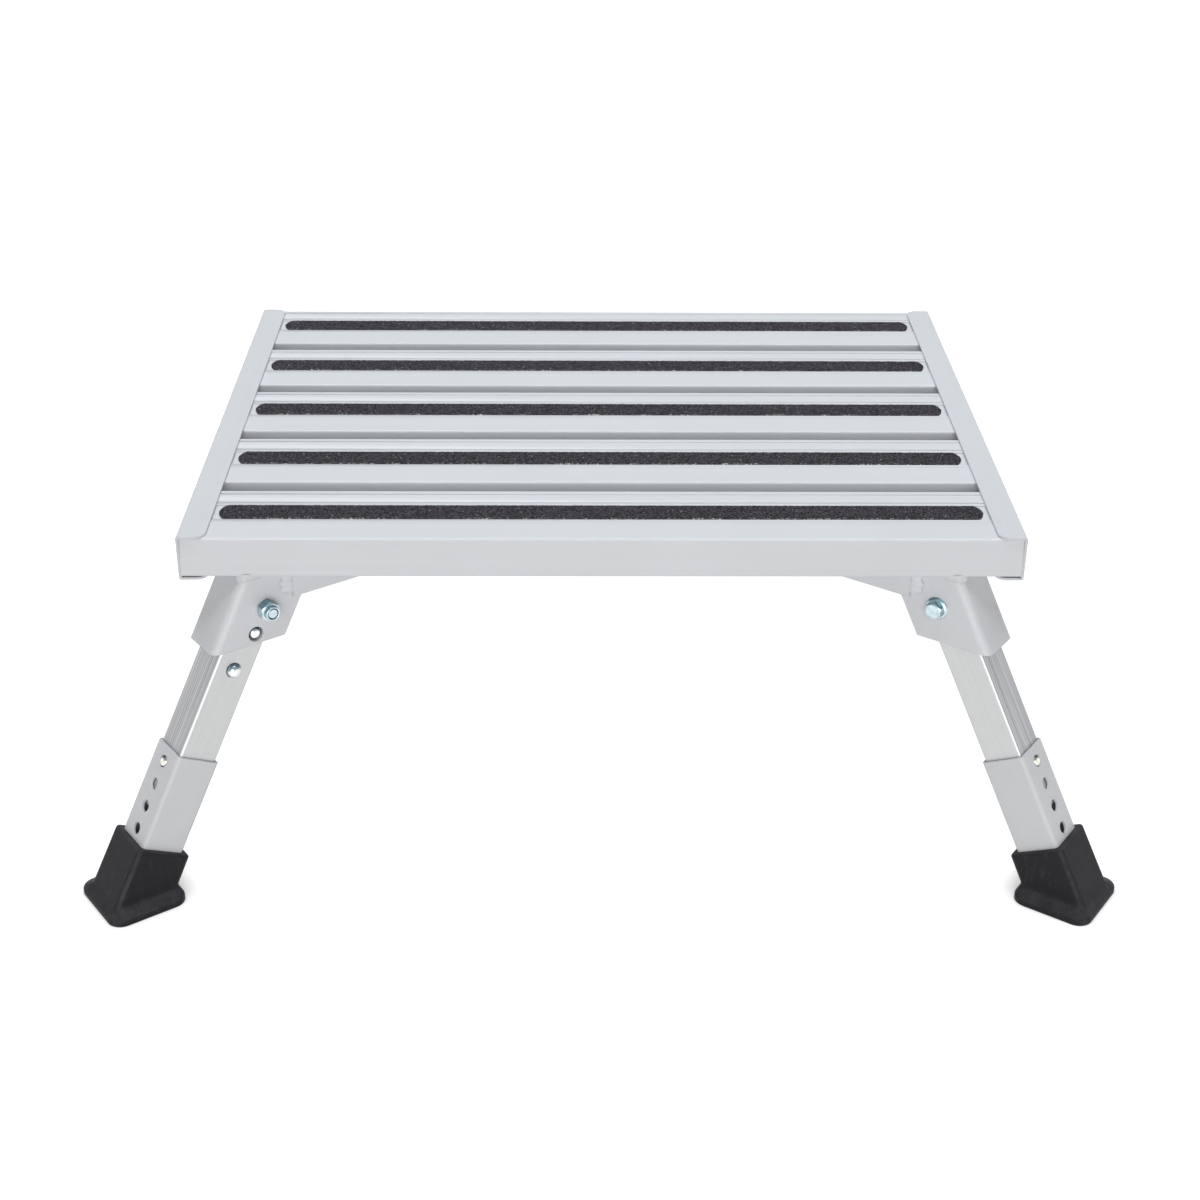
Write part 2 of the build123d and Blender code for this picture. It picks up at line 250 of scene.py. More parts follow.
floor_mesh = bpy.data.meshes.new("studio_floor")
floor_corners = floor_half * np.array([[-1, -1, 0], [1, -1, 0], [1, 1, 0], [-1, 1, 0]], float)
floor_mesh.from_pydata(floor_corners.tolist(), [], [(0, 1, 2, 3)])
floor_mesh.materials.append(floor_paint)
floor = bpy.data.objects.new("studio_floor", floor_mesh)
bpy.context.scene.collection.objects.link(floor)
floor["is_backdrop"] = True
print("Floor:", 2 * floor_half, "m square")

# %% Lamps


def soft_lamp(name, place, aim, width, watts, tint):
    """A square lamp at a place, turned to face a point."""
    light = bpy.data.lights.new(name, "AREA")
    light.shape = "SQUARE"
    light.size = width
    light.energy = watts
    light.color = tint
    lamp = bpy.data.objects.new(name, light)
    lamp.location = place
    lamp.rotation_euler = (Vector(aim) - Vector(place)).to_track_quat("-Z", "Y").to_euler()
    bpy.context.scene.collection.objects.link(lamp)
    return lamp


middle = (0.0, 0.0, 0.12)
cool, warm = (0.92, 0.965, 1.0), (1.0, 0.985, 0.97)
soft_lamp("overhead_softbox", (0.0, 0.2, 2.4), middle, width=2.0, watts=47.5, tint=cool)
soft_lamp("low_softbox", (0.0, -2.4, 0.7), middle, width=1.6, watts=29.3, tint=warm)

# %% [markdown]
# ## Colours and patterns for all finishes
# A colour read off a photograph is in the display's scale, and Blender mixes light on a linear scale, so
# one small function converts it. The others give what nearly every finish starts from: a noise whose grain is
# given in millimetres, which may differ along X, Y and Z to draw it out into streaks, a mix of two colours by
# a mask, and two masks from the shape itself. A Bevel node turns the light smoothly round sharp edges, as a
# coat of paint does, and where its direction departs from the true one there is an edge. An Ambient
# Occlusion node finds the crevices, which some finishes darken as painted shade.

# %% Helpers that the finishes share
millimetre = 0.001
bevel_rays = 6
edge_from, edge_to = 0.01, 0.09


def display_colour(red, green, blue):
    """A display colour of 0 to 255 as a linear one: above the toe, ((c + 0.055) / 1.055) to the power 2.4."""
    c = np.array([red, green, blue]) / 255
    linear = np.where(c <= 0.04045, c / 12.92, ((c + 0.055) / 1.055) ** 2.4)
    return (*(float(v) for v in linear), 1.0)


def darker(colour, share):
    """A linear colour times a share."""
    return (*(share * v for v in colour[:3]), 1.0)


def new_finish(name):
    """An empty material: its tree, its shader and the position on the solid, in metres."""
    material = bpy.data.materials.new(name)
    material.use_nodes = True
    tree = Tree(material.node_tree)
    place = tree.add("ShaderNodeTexCoord", output="Object")
    return material, tree, tree.nodes["Principled BSDF"], place


def grain(tree, place, size_mm, detail=2.0, roughness=0.5):
    """Noise from 0 to 1 with grains of the given size, one number or one for each axis."""
    sizes = np.broadcast_to(np.array(size_mm, float) * millimetre, 3)
    scaled = tree.add("ShaderNodeVectorMath", {"operation": "DIVIDE"}, {0: place, 1: tuple(sizes)})
    sockets = {"Vector": scaled, "Scale": 1.0, "Detail": detail, "Roughness": roughness}
    return tree.add("ShaderNodeTexNoise", None, sockets)


def blend_colours(tree, mask, low, high):
    """The colour low where the mask is 0 and high where it is 1."""
    sockets = {"Factor_Float": mask, "A_Color": low, "B_Color": high}
    return tree.add("ShaderNodeMix", {"data_type": "RGBA"}, sockets, output="Result_Color")


def between(tree, value, low, high):
    """0 below low, 1 above high, and a straight ramp between."""
    sockets = {"Value": value, "From Min": low, "From Max": high}
    return tree.add("ShaderNodeMapRange", None, sockets)


def dot(tree, first, second):
    """The dot product of two vectors."""
    sockets = {0: first, 1: second}
    return tree.add("ShaderNodeVectorMath", {"operation": "DOT_PRODUCT"}, sockets, output="Value")


def coated_edges(tree, radius_mm):
    """The direction of the surface, turned smoothly round each sharp edge."""
    return tree.add("ShaderNodeBevel", {"samples": bevel_rays}, {"Radius": radius_mm * millimetre})


def edge_share(tree, rounded):
    """0 on flat stretches, and 1 where the rounded direction departs from the true one."""
    flat = tree.add("ShaderNodeNewGeometry", output="Normal")
    return between(tree, 1 - dot(tree, rounded, flat), edge_from, edge_to)


def crevices(tree, reach_mm):
    """1 in narrow gaps and inner corners within reach, and 0 in the open."""
    sockets = {"Distance": reach_mm * millimetre}
    rays = {"samples": occlusion_rays}
    return 1 - tree.add("ShaderNodeAmbientOcclusion", rays, sockets, output="AO")


print("Mid grey 128 is", round(display_colour(128, 128, 128)[0], 3), "on the linear scale")

# %% [markdown]
# ## Satin paint
# Slats, channels, brackets and lower tubes are sprayed with a pale grey satin paint. Up close such paint has
# a faint orange peel, it is a little uneven in tone, and on the extruded slats the draw lines of the metal
# show through as hair-thin streaks. The peel is a bump, the rest moves the colour by a few hundredths only.
# Where two parts touch, a thin line of painted shade makes the joint show.

# %% A satin paint of any colour
paint_cloud_mm = 60.0
paint_peel_mm = 1.1
paint_edge_mm = 0.6
paint_relief = 0.00012
# Reach and darkness of the painted shade in crevices and joints.
crevice_shade_reach_mm = 1.6
cloud_shade, crevice_shade_darkness = 0.95, 0.35


def satin_paint(name, colour, line_mm, line_share, crevice_shade_share):
    """Paint whose tone is clouds plus draw lines, with grains of line_mm along the axes, and painted shade in
    gaps.
    """
    material, tree, shader, place = new_finish(name)
    clouds = grain(tree, place, paint_cloud_mm, detail=3.0)
    lines = grain(tree, place, line_mm, detail=1.0)
    peel = grain(tree, place, paint_peel_mm, detail=1.5)
    tone = between(tree, (1 - line_share) * clouds + line_share * lines, 0.32, 0.68)
    coat = blend_colours(tree, tone, darker(colour, cloud_shade), colour)
    # Painted shade: the colour darkens in crevices within reach, where shade falls.
    painted_crevice_shade = crevice_shade_share * between(tree, crevices(tree, crevice_shade_reach_mm), 0.35, 0.85)
    tree.fill(shader.inputs["Base Color"], blend_colours(tree, painted_crevice_shade, coat, darker(colour, crevice_shade_darkness)))
    tree.fill(shader.inputs["Roughness"], 0.27 + 0.1 * clouds + 0.06 * peel)
    height = (1 - line_share) * peel + line_share * lines
    edges = coated_edges(tree, paint_edge_mm)
    sockets = {"Strength": 0.12, "Distance": paint_relief, "Height": height, "Normal": edges}
    tree.fill(shader.inputs["Normal"], tree.add("ShaderNodeBump", None, sockets))
    shader.inputs["Specular IOR Level"].default_value = 0.45
    return material


deck_colour = display_colour(210, 212, 215)
frame_colour = display_colour(211, 212, 215)
channel_colour = display_colour(205, 207, 210)
leg_colour = display_colour(208, 209, 211)
along_slat = (350.0, 1.3, 1.3)
along_channel = (1.3, 350.0, 1.3)
deck_paint = satin_paint("deck_paint", deck_colour, along_slat, line_share=0.5, crevice_shade_share=0.1)
channel_paint = satin_paint("channel_paint", channel_colour, along_channel, line_share=0.4, crevice_shade_share=0.6)
frame_paint = satin_paint("frame_paint", frame_colour, line_mm=4.0, line_share=0.3, crevice_shade_share=0.6)
weld_paint = satin_paint("weld_paint", frame_colour, line_mm=2.0, line_share=0.3, crevice_shade_share=0.2)
leg_paint = satin_paint("leg_paint", leg_colour, line_mm=4.0, line_share=0.3, crevice_shade_share=0.6)
paints = [deck_paint, channel_paint, frame_paint, weld_paint, leg_paint]
print("Paints:", [paint.name for paint in paints])

# %% [markdown]
# ## Bare tube
# The upper leg tubes are left as they came out of the die: bare metal with streaks along their length. The
# legs lean four different ways, so each needs its own direction. Taking away the part of a position that
# lies along the leg leaves only what lies across it, and noise of that is constant along the leg: a streak.
# A small share of the length stays in, so that the streaks slowly change. The outward face, which bears on
# the lower tube, has deep grey streaks, the sides stay pale and smooth, and the corners carry a painted
# highlight.

# %% Where each leg is and which way it points
corner_names = ["front_left", "front_right", "rear_right", "rear_left"]
joints = {joint["name"]: joint for joint in frame["joints"]}
leg_axes = {corner: tuple(joints["height_" + corner]["axis"]) for corner in corner_names}
bolt_axes = {corner: tuple(joints["fold_" + corner]["axis"]) for corner in corner_names}
outward_axes = {c: tuple(float(v) for v in np.cross(bolt_axes[c], leg_axes[c])) for c in corner_names}


def mesh_points(name):
    """The points of a solid, one row each."""
    mesh = nodes[name].data
    points = np.empty(3 * len(mesh.vertices), np.float32)
    mesh.vertices.foreach_get("co", points)
    return points.reshape(-1, 3)


print("Lean of each leg:", {c: round(float(np.degrees(np.arccos(a[2]))), 1) for c, a in leg_axes.items()})

# %% Drawn bare metal, streaked along one axis
streak_kept = 0.004
coarse_mm, fine_mm = 1.4, 0.45
tube_scuff_mm = 7.0
tube_edge_mm = 0.9
tube_relief = 0.0001
smooth_tones = display_colour(185, 186, 186), display_colour(201, 202, 202)
rubbed_tones = display_colour(138, 139, 142), display_colour(200, 201, 203)
# A bright tone painted on the rounded corners as a highlight.
corner_highlight_tone = display_colour(206, 207, 208)
corner_ramp = 0.1


def facing(tree, axis):
    """How far the surface faces along an axis: 1 straight along it, 0 across it, -1 away from it."""
    return dot(tree, tree.add("ShaderNodeNewGeometry", output="Normal"), axis)


def corner_share(tree, corner, start):
    """1 on the rounded corners of a leg's tube or boot, which face partly outward and partly sideways. The
    squared product of both is 0.25 in the middle of a corner, and the share ramps up from start."""
    both = facing(tree, outward_axes[corner]) * facing(tree, bolt_axes[corner])
    return between(tree, both * both, start, start + corner_ramp)


def across(tree, place, axis, kept):
    """A position without its part along an axis, apart from the share that is kept."""
    along = tree.add("ShaderNodeVectorMath", {"operation": "PROJECT"}, {0: place, 1: axis})
    taken = tree.add("ShaderNodeVectorMath", {"operation": "SCALE"}, {0: along, "Scale": 1 - kept})
    return tree.add("ShaderNodeVectorMath", {"operation": "SUBTRACT"}, {0: place, 1: taken})


def drawn_metal(corner):
    """Bare metal: streaks along the leg set its colour, roughness and relief, most on the outward face."""
    material, tree, shader, place = new_finish("bare_tube_" + corner)
    crosswise = across(tree, place, leg_axes[corner], streak_kept)
    coarse = grain(tree, crosswise, coarse_mm, detail=1.0)
    fine = grain(tree, crosswise, fine_mm, detail=1.0)
    scuffs = grain(tree, place, tube_scuff_mm, detail=4.0, roughness=0.6)
    streaks = between(tree, 0.5 * coarse + 0.5 * fine, 0.34, 0.66)
    mottle = 0.5 * streaks + 0.5 * scuffs
    smooth = blend_colours(tree, mottle, *smooth_tones)
    rubbed = blend_colours(tree, streaks, *rubbed_tones)
    outward = outward_axes[corner]
    face_at = float((mesh_points("upper_leg_" + corner) @ np.array(outward)).max())
    on_face = between(tree, dot(tree, place, outward), face_at - 0.8 * millimetre, face_at - 0.3 * millimetre)
    faces = blend_colours(tree, on_face, smooth, rubbed)
    edges = coated_edges(tree, tube_edge_mm)
    # Painted highlight: the rounded corners of the tube are lightened to a bright tone.
    bright = blend_colours(tree, corner_share(tree, corner, start=0.15), faces, corner_highlight_tone)
    tree.fill(shader.inputs["Base Color"], bright)
    tree.fill(shader.inputs["Roughness"], 0.34 + 0.1 * streaks + 0.1 * scuffs)
    shader.inputs["Metallic"].default_value = 1.0
    sockets = {"Strength": 0.2, "Distance": tube_relief, "Height": streaks * on_face, "Normal": edges}
    tree.fill(shader.inputs["Normal"], tree.add("ShaderNodeBump", None, sockets))
    return material


bare_tubes = {corner: drawn_metal(corner) for corner in corner_names}
print("Bare tubes:", len(bare_tubes))

# %% [markdown]
# ## Small metal parts
# The bolts, washers and nuts are zinc plated, which is a cool, slightly cloudy mirror. The lock buttons are
# plated bright, with fine scuffs from use. The springs inside are plain steel strip. One function makes all
# three: clouds move the colour between two tones and the roughness with it, faces that look up take a painted
# reflection of the ceiling, cooler and darker, and the crevices, such as the ring where a button comes out of
# its hole, take painted shade.

# %% Plated and plain steel
upwards = (0.0, 0.0, 1.0)
plate_scuff_mm = (0.3, 0.3, 2.4)
# Reach, share and darkness of the painted shade in crevices, then the ramp of the painted reflection on faces
# that look up.
gap_shade_reach_mm = 2.2
gap_shade_share, gap_shade_darkness = 0.85, 0.12
painted_sky_ramp = 0.35
plate_relief = 0.00005


def plated(name, tones, painted_sky_from, roughness, cloud_mm, scuff_depth):
    """A metal whose clouds of cloud_mm run between the first two tones. Faces that look up take the third as
    a painted reflection, crevices take painted shade, and scuffs are in the relief."""
    material, tree, shader, place = new_finish(name)
    low, high, painted_sky = tones
    clouds = between(tree, grain(tree, place, cloud_mm, detail=3.0), 0.3, 0.7)
    scuffs = grain(tree, place, plate_scuff_mm, detail=3.0)
    # Painted shade: crevices within reach darken, as in the shadow gap round a button.
    painted_gap_shade = between(tree, crevices(tree, gap_shade_reach_mm), 0.3, 0.8)
    plate = blend_colours(tree, clouds, low, high)
    # Painted reflection: faces that look up take the third tone, as if mirroring the ceiling.
    upward_painted_light = between(tree, facing(tree, upwards), painted_sky_from, painted_sky_from + painted_sky_ramp)
    with_painted_sky = blend_colours(tree, upward_painted_light, plate, painted_sky)
    gap_shaded = blend_colours(tree, gap_shade_share * painted_gap_shade, with_painted_sky, darker(low, gap_shade_darkness))
    tree.fill(shader.inputs["Base Color"], gap_shaded)
    tree.fill(shader.inputs["Roughness"], roughness + 0.1 * clouds + 0.06 * scuffs)
    shader.inputs["Metallic"].default_value = 1.0
    sockets = {"Strength": scuff_depth, "Distance": plate_relief, "Height": scuffs}
    tree.fill(shader.inputs["Normal"], tree.add("ShaderNodeBump", None, sockets))
    return material


# The third tone of each set is a painted reflection of the ceiling, on faces that look up.
zinc_tones = display_colour(172, 190, 196), display_colour(212, 226, 232), display_colour(128, 152, 162)
plate_tones = display_colour(212, 215, 216), display_colour(240, 242, 242), display_colour(132, 150, 160)
warm_tones = display_colour(214, 213, 204), display_colour(242, 241, 234), display_colour(84, 86, 88)
steel_tones = display_colour(150, 152, 156), display_colour(178, 180, 184), display_colour(120, 122, 126)
bright = {"roughness": 0.06, "cloud_mm": 2.0, "scuff_depth": 0.1}
dull = {"roughness": 0.3, "cloud_mm": 5.0, "scuff_depth": 0.3}
zinc = plated("zinc", zinc_tones, painted_sky_from=0.12, roughness=0.16, cloud_mm=3.0, scuff_depth=0.25)
side_button = plated("side_button_plate", plate_tones, painted_sky_from=0.12, **bright)
outer_button = plated("outer_button_plate", warm_tones, painted_sky_from=0.5, **bright)
spring_steel = plated("spring_steel", steel_tones, painted_sky_from=0.12, **dull)
print("Metals:", zinc.name, side_button.name, outer_button.name, spring_steel.name)

# %% [markdown]
# ## Grip strips
# The strips are cut from a black tape with mineral grit bonded into it. Each grain is a cell of a Voronoi
# pattern less than a millimetre across: its distance field is the relief, and its random colour decides
# which few grains are pale. Along the front edge the cut has chipped some grit away, and white backing shows
# there in flecks. The slats repeat at a fixed pitch, so the remainder of Y by that pitch tells how far a
# point is from the front edge of its own strip, and one material serves all five.

# %% Grit tape
strip_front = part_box("grip_strip_5")[0].y
slat_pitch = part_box("grip_strip_4")[0].y - strip_front
cell_mm = 0.7
patch_mm, chip_mm = 14.0, 1.1
grit_relief = 0.0003
grit_tones = display_colour(14, 14, 17), display_colour(82, 79, 85)
pale_tone = display_colour(180, 180, 178)
chip_tone = display_colour(208, 208, 206)


def grit_tape(name):
    """Dark grains, a few pale ones, and chipped flecks along the front edge of every strip."""
    material, tree, shader, place = new_finish(name)
    grains = {"Vector": place, "Scale": 1 / (cell_mm * millimetre)}
    depth = tree.add("ShaderNodeTexVoronoi", None, grains, output="Distance")
    cell = Signal(tree, depth.socket.node.outputs["Color"])
    chance = tree.add("ShaderNodeSeparateColor", None, {"Color": cell})
    patches = grain(tree, place, patch_mm, detail=3.0)
    bonded = blend_colours(tree, between(tree, chance, 0.3, 1.0), *grit_tones)
    pale = between(tree, chance, 0.996, 0.998)
    sparkling = blend_colours(tree, 0.6 * pale, bonded, pale_tone)
    y = Signal(tree, tree.add("ShaderNodeSeparateXYZ", None, {0: place}).socket.node.outputs["Y"])
    from_front = (y - strip_front) % slat_pitch
    at_edge = 1 - between(tree, from_front, 0.5 * millimetre, 1.3 * millimetre)
    chips = between(tree, 0.75 * grain(tree, place, chip_mm, detail=2.0) + 0.25 * patches, 0.58, 0.61)
    chipped = blend_colours(tree, at_edge * chips, sparkling, chip_tone)
    tree.fill(shader.inputs["Base Color"], chipped)
    tree.fill(shader.inputs["Roughness"], 0.72 + 0.25 * depth)
    sockets = {"Strength": 0.8, "Distance": grit_relief, "Height": 1 - depth}
    tree.fill(shader.inputs["Normal"], tree.add("ShaderNodeBump", None, sockets))
    shader.inputs["Specular IOR Level"].default_value = 0.18
    return material


grip_grit = grit_tape("grip_grit")
print("Slat pitch:", round(1000 * slat_pitch, 2), "mm")

# %% [markdown]
# ## Rubber and nylon
# The boots are moulded black rubber: matt, finely pitted by the mould, scuffed pale in places, with a painted
# highlight where the sole flares out and looks up, and with a pale line down each corner, where the halves of
# the mould met. The nylon spacers at the pivots are nearly hidden, and get a milky plastic with a faint flow
# pattern.

# %% Moulded rubber and plastic
blotch_mm = 16.0
mould_scuff_mm = (3.0, 3.0, 9.0)
mould_edge_mm = 1.6
mould_relief = 0.0002
# Shares of the seam lines and of the painted highlight on faces that look up.
seam_share, up_highlight_share = 0.6, 0.4
edge_wear_and_highlight, scuff_wear = 0.7, 0.18
blotch_shade = 0.78


def moulded(name, colour, worn, roughness, pit_mm, specular, corner=None):
    """Moulded plastic or rubber: pits in the relief, blotches in the tone, paler scuffs, edges and seams, and
    on boots a painted highlight on faces that look up.
    """
    material, tree, shader, place = new_finish(name)
    pits = grain(tree, place, pit_mm, detail=3.0)
    blotches = grain(tree, place, blotch_mm, detail=4.0, roughness=0.6)
    scuffs = between(tree, grain(tree, place, mould_scuff_mm, detail=5.0, roughness=0.7), 0.52, 0.72)
    rounded = coated_edges(tree, mould_edge_mm)
    edges = edge_share(tree, rounded)
    if corner:
        # Painted highlight: on boots, faces that look up are lightened where the sole flares out.
        upward_painted_light = between(tree, facing(tree, upwards), 0.45, 0.8)
        edges = edges + seam_share * corner_share(tree, corner, start=0.1) + up_highlight_share * upward_painted_light
    wear_and_highlight = edge_wear_and_highlight * edges * between(tree, blotches, 0.3, 0.6) + scuff_wear * scuffs
    body = blend_colours(tree, between(tree, blotches, 0.3, 0.7), darker(colour, blotch_shade), colour)
    tree.fill(shader.inputs["Base Color"], blend_colours(tree, wear_and_highlight, body, worn))
    tree.fill(shader.inputs["Roughness"], roughness + 0.14 * blotches)
    sockets = {"Strength": 0.3, "Distance": mould_relief, "Height": pits, "Normal": rounded}
    tree.fill(shader.inputs["Normal"], tree.add("ShaderNodeBump", None, sockets))
    shader.inputs["Specular IOR Level"].default_value = specular
    return material


rubber_tones = display_colour(32, 31, 35), display_colour(80, 79, 84)
rubber_feel = {"roughness": 0.5, "pit_mm": 0.5, "specular": 0.16}
boots = {c: moulded("boot_rubber_" + c, *rubber_tones, **rubber_feel, corner=c) for c in corner_names}
nylon_tones = display_colour(222, 220, 212), display_colour(232, 230, 226)
nylon = moulded("nylon", *nylon_tones, roughness=0.4, pit_mm=0.8, specular=0.5)
print("Moulded:", len(boots), "boots and", nylon.name)

# %% [markdown]
# ## Dressing the solids
# Each CAD solid keeps its shape and gets a finish through its material slots. Names of the solids start with
# what they are, so a short table from the start of a name to its finish is enough. Only the bare tubes and
# the boots also depend on the corner.

# %% Give every solid its finish
finish_of = {
    "slat_": deck_paint,
    "grip_strip_": grip_grit,
    "end_channel_": channel_paint,
    "leg_bracket_": frame_paint,
    "gusset_bars_": frame_paint,
    "pivot_bolts": zinc,
    "pivot_washers": zinc,
    "pivot_nuts": zinc,
    "pivot_spacers": nylon,
    "fold_spring_": spring_steel,
    "height_spring_": spring_steel,
    "fold_buttons_": side_button,
    "height_button_": outer_button,
    "lower_leg_": leg_paint,
}
finish_of.update({"upper_leg_" + corner: bare_tubes[corner] for corner in corner_names})
finish_of.update({"rubber_foot_" + corner: boots[corner] for corner in corner_names})


def dress(solid, finish):
    """Put one finish into every material slot of a solid."""
    for slot in solid.material_slots:
        slot.material = finish


for name, solid in nodes.items():
    dress(solid, next(finish for start, finish in finish_of.items() if name.startswith(start)))
print("Dressed:", sum(len(solid.material_slots) > 0 for solid in nodes.values()), "solids")

# %% [markdown]
# ## Surfaces from arrays
# The welds and fasteners are surfaces over two parameters: one goes round and the other goes along. Both
# fill one array of points, in the frame of a leg: outward, along the pivot bolt, and up. A function places
# such an array at a corner, and another joins neighbours into four-sided faces. Rows that shrink to a point
# close the ends.

# %% The frame of each leg


def leg_place(corner):
    """The pivot of a leg, and its outward, bolt and up directions as the rows of a matrix."""
    joint = joints["fold_" + corner]
    bolt = np.array(joint["axis"])
    up = np.array([0.0, 0.0, 1.0])
    return np.array(joint["pos_m"]), np.array([np.cross(bolt, up), bolt, up])


def solid_points(name, corner):
    """The points of a solid in the frame of one leg."""
    pivot, axes = leg_place(corner)
    return (mesh_points(name) - pivot) @ axes.T


touch = 1e-5
bracket = solid_points("leg_bracket_front_left", "front_left")
gusset = solid_points("gusset_bars_front_left", "front_left")
bracket_top = bracket[:, 2].max()
cheek = np.abs(bracket[:, 1]).max()
top_edge = bracket[bracket[:, 2] > bracket_top - touch]
web_at_top = top_edge[:, 0].max()
bend_length = web_at_top - top_edge[np.abs(top_edge[:, 1]) > cheek - touch][:, 0].max()
bend_width = cheek - np.abs(top_edge[top_edge[:, 0] > web_at_top - touch][:, 1]).max()
gusset_start = gusset[:, 0].max()
gusset_low = gusset[:, 2].min()
print("Bracket top, cheek and web in mm:", np.round(1000 * np.array([bracket_top, cheek, web_at_top]), 2))
print("Bend at the top in mm:", np.round(1000 * np.array([bend_length, bend_width]), 2))

# %% From arrays of points to a piece
merge_distance = 1e-7
sharp_angle = np.radians(32.0)


def faces_of(rows, columns, closed_rows):
    """Corner numbers of the faces of a grid whose columns close on themselves, and whose rows may."""
    row = np.arange(rows if closed_rows else rows - 1)[:, None]
    column = np.arange(columns)[None, :]
    next_row = (row + 1) % rows * columns
    next_column = (column + 1) % columns
    row = row * columns
    corners = [row + column, row + next_column, next_row + next_column, next_row + column]
    return np.stack(corners, axis=-1).reshape(-1, 4)


def merge_doubles(mesh, turn_outwards):
    """Join the points of a mesh that coincide, and turn its faces outwards where that is asked for."""
    shape = bmesh.new()
    shape.from_mesh(mesh)
    bmesh.ops.remove_doubles(shape, verts=shape.verts, dist=merge_distance)
    if turn_outwards:
        bmesh.ops.recalc_face_normals(shape, faces=shape.faces)
    shape.to_mesh(mesh)
    shape.free()


def place_piece(name, mesh, body):
    """Shade a mesh smoothly between its sharp edges, and let it ride on a body as one piece."""
    mesh.polygons.foreach_set("use_smooth", np.ones(len(mesh.polygons), bool))
    mesh.set_sharp_from_angle(angle=sharp_angle)
    piece = bpy.data.objects.new(name, mesh)
    bpy.context.scene.collection.objects.link(piece)
    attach(piece, body)
    print(name, "faces:", len(mesh.polygons))
    return piece


def make_piece(name, grids, finish, body, closed_rows=False):
    """One object from several grids of points, merged at its poles, with faces turned outwards."""
    points = np.concatenate([grid.reshape(-1, 3) for grid in grids])
    starts = np.cumsum([0] + [grid.shape[0] * grid.shape[1] for grid in grids[:-1]])
    faces = [faces_of(*grid.shape[:2], closed_rows) + start for grid, start in zip(grids, starts)]
    mesh = bpy.data.meshes.new(name)
    mesh.from_pydata(points.tolist(), [], np.concatenate(faces).tolist())
    mesh.materials.append(finish)
    merge_doubles(mesh, turn_outwards=True)
    return place_piece(name, mesh, body)


def at_corner(points, corner):
    """Points from the frame of one leg to the frame of the whole step."""
    pivot, axes = leg_place(corner)
    return pivot + points @ axes


# %% [markdown]
# ## Slats with crisp edges
# An extrusion has crisp edges, so the front of each slat shows in the gap as a clear band under a thin line.
# Each slat is made again from a copy of its solid, with some of its points moved. Its rounded upper edges are
# drawn in towards their corners, its front wall leans back a little from foot to top, and the groove in front
# of the grip strip, which hardly shows, becomes shallow. The recess and the other grooves, the ribs and the
# hollow chambers stay. The faces of a solid already point outwards, so the copy is only merged.

# %% The slats
solid_radius = 0.003
crisp_share = 0.4
front_lean = 0.0025
front_reach = 0.0032
arc_touch = 2e-5
groove_share = 0.2
front_groove = 0.013
groove_reach = 0.0006
groove_deep = 0.00045


def crisp_points(name):
    """The points of a slat. A point on a rounded upper edge keeps one share of its distances from the corner,
    so the arc stays an arc with a smaller radius. The front wall leans back by front_lean from its foot to
    its top. The front groove keeps one share of its depth."""
    low, high = (np.array(corner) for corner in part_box(name))
    points = mesh_points(name)
    down = high[2] - points[:, 2]
    for edge in (low[1], high[1]):
        inward = np.abs(points[:, 1] - edge)
        from_arc = np.abs(np.hypot(inward - solid_radius, down - solid_radius) - solid_radius)
        on_arc = (from_arc < arc_touch) & (np.maximum(inward, down) < solid_radius + arc_touch)
        points[on_arc, 1] = edge + crisp_share * (points[on_arc, 1] - edge)
        points[on_arc, 2] = high[2] - crisp_share * down[on_arc]
    front_wall = points[:, 1] - low[1] < front_reach
    points[front_wall, 1] += front_lean * (points[front_wall, 2] - low[2]) / (high[2] - low[2])
    strip_low, strip_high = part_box(name.replace("slat", "grip_strip"))
    groove = (strip_low.y + strip_high.y) / 2 - front_groove
    in_groove = (np.abs(points[:, 1] - groove) < groove_reach) & (down < groove_deep)
    points[in_groove, 2] = high[2] - groove_share * down[in_groove]
    return points


def crisp_slat(name, new_name):
    """A merged copy of a slat's mesh on its new points."""
    mesh = nodes[name].data.copy()
    mesh.name = new_name
    mesh.vertices.foreach_set("co", crisp_points(name).ravel())
    merge_doubles(mesh, turn_outwards=False)
    return place_piece(new_name, mesh, "deck")


for slat in sorted(name for name in nodes if name.startswith("slat_")):
    crisp = crisp_slat(slat, "crisp_" + slat)
    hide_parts(slat)

# %% [markdown]
# ## Grit as a surface
# Seen close, the tape is rough, and its ends are cut to a blunt point. So each strip is made again as a
# closed band. Rows run along it from tip to tip, and shrink to a point at both. In each row some points lie
# across the rough top, at random depths and a little out of line, as grains do, and two more lie along the
# lower edges.

# %% The bands of grit
end_cut = 0.0046
cut_power = 1.6
end_rows = 14
grains_across = 26
grain_size = 0.0007
grain_depth = 0.00025
grain_jitter = 0.4
dice = np.random.default_rng(11)


def width_share(from_end):
    """The share of the full width at a distance from the tip. That share and the share of the end cut that is
    still to go, both to the power cut_power, add up to 1."""
    to_go = 1 - np.clip(from_end / end_cut, 0.0, 1.0)
    return (1 - to_go ** cut_power) ** (1 / cut_power)


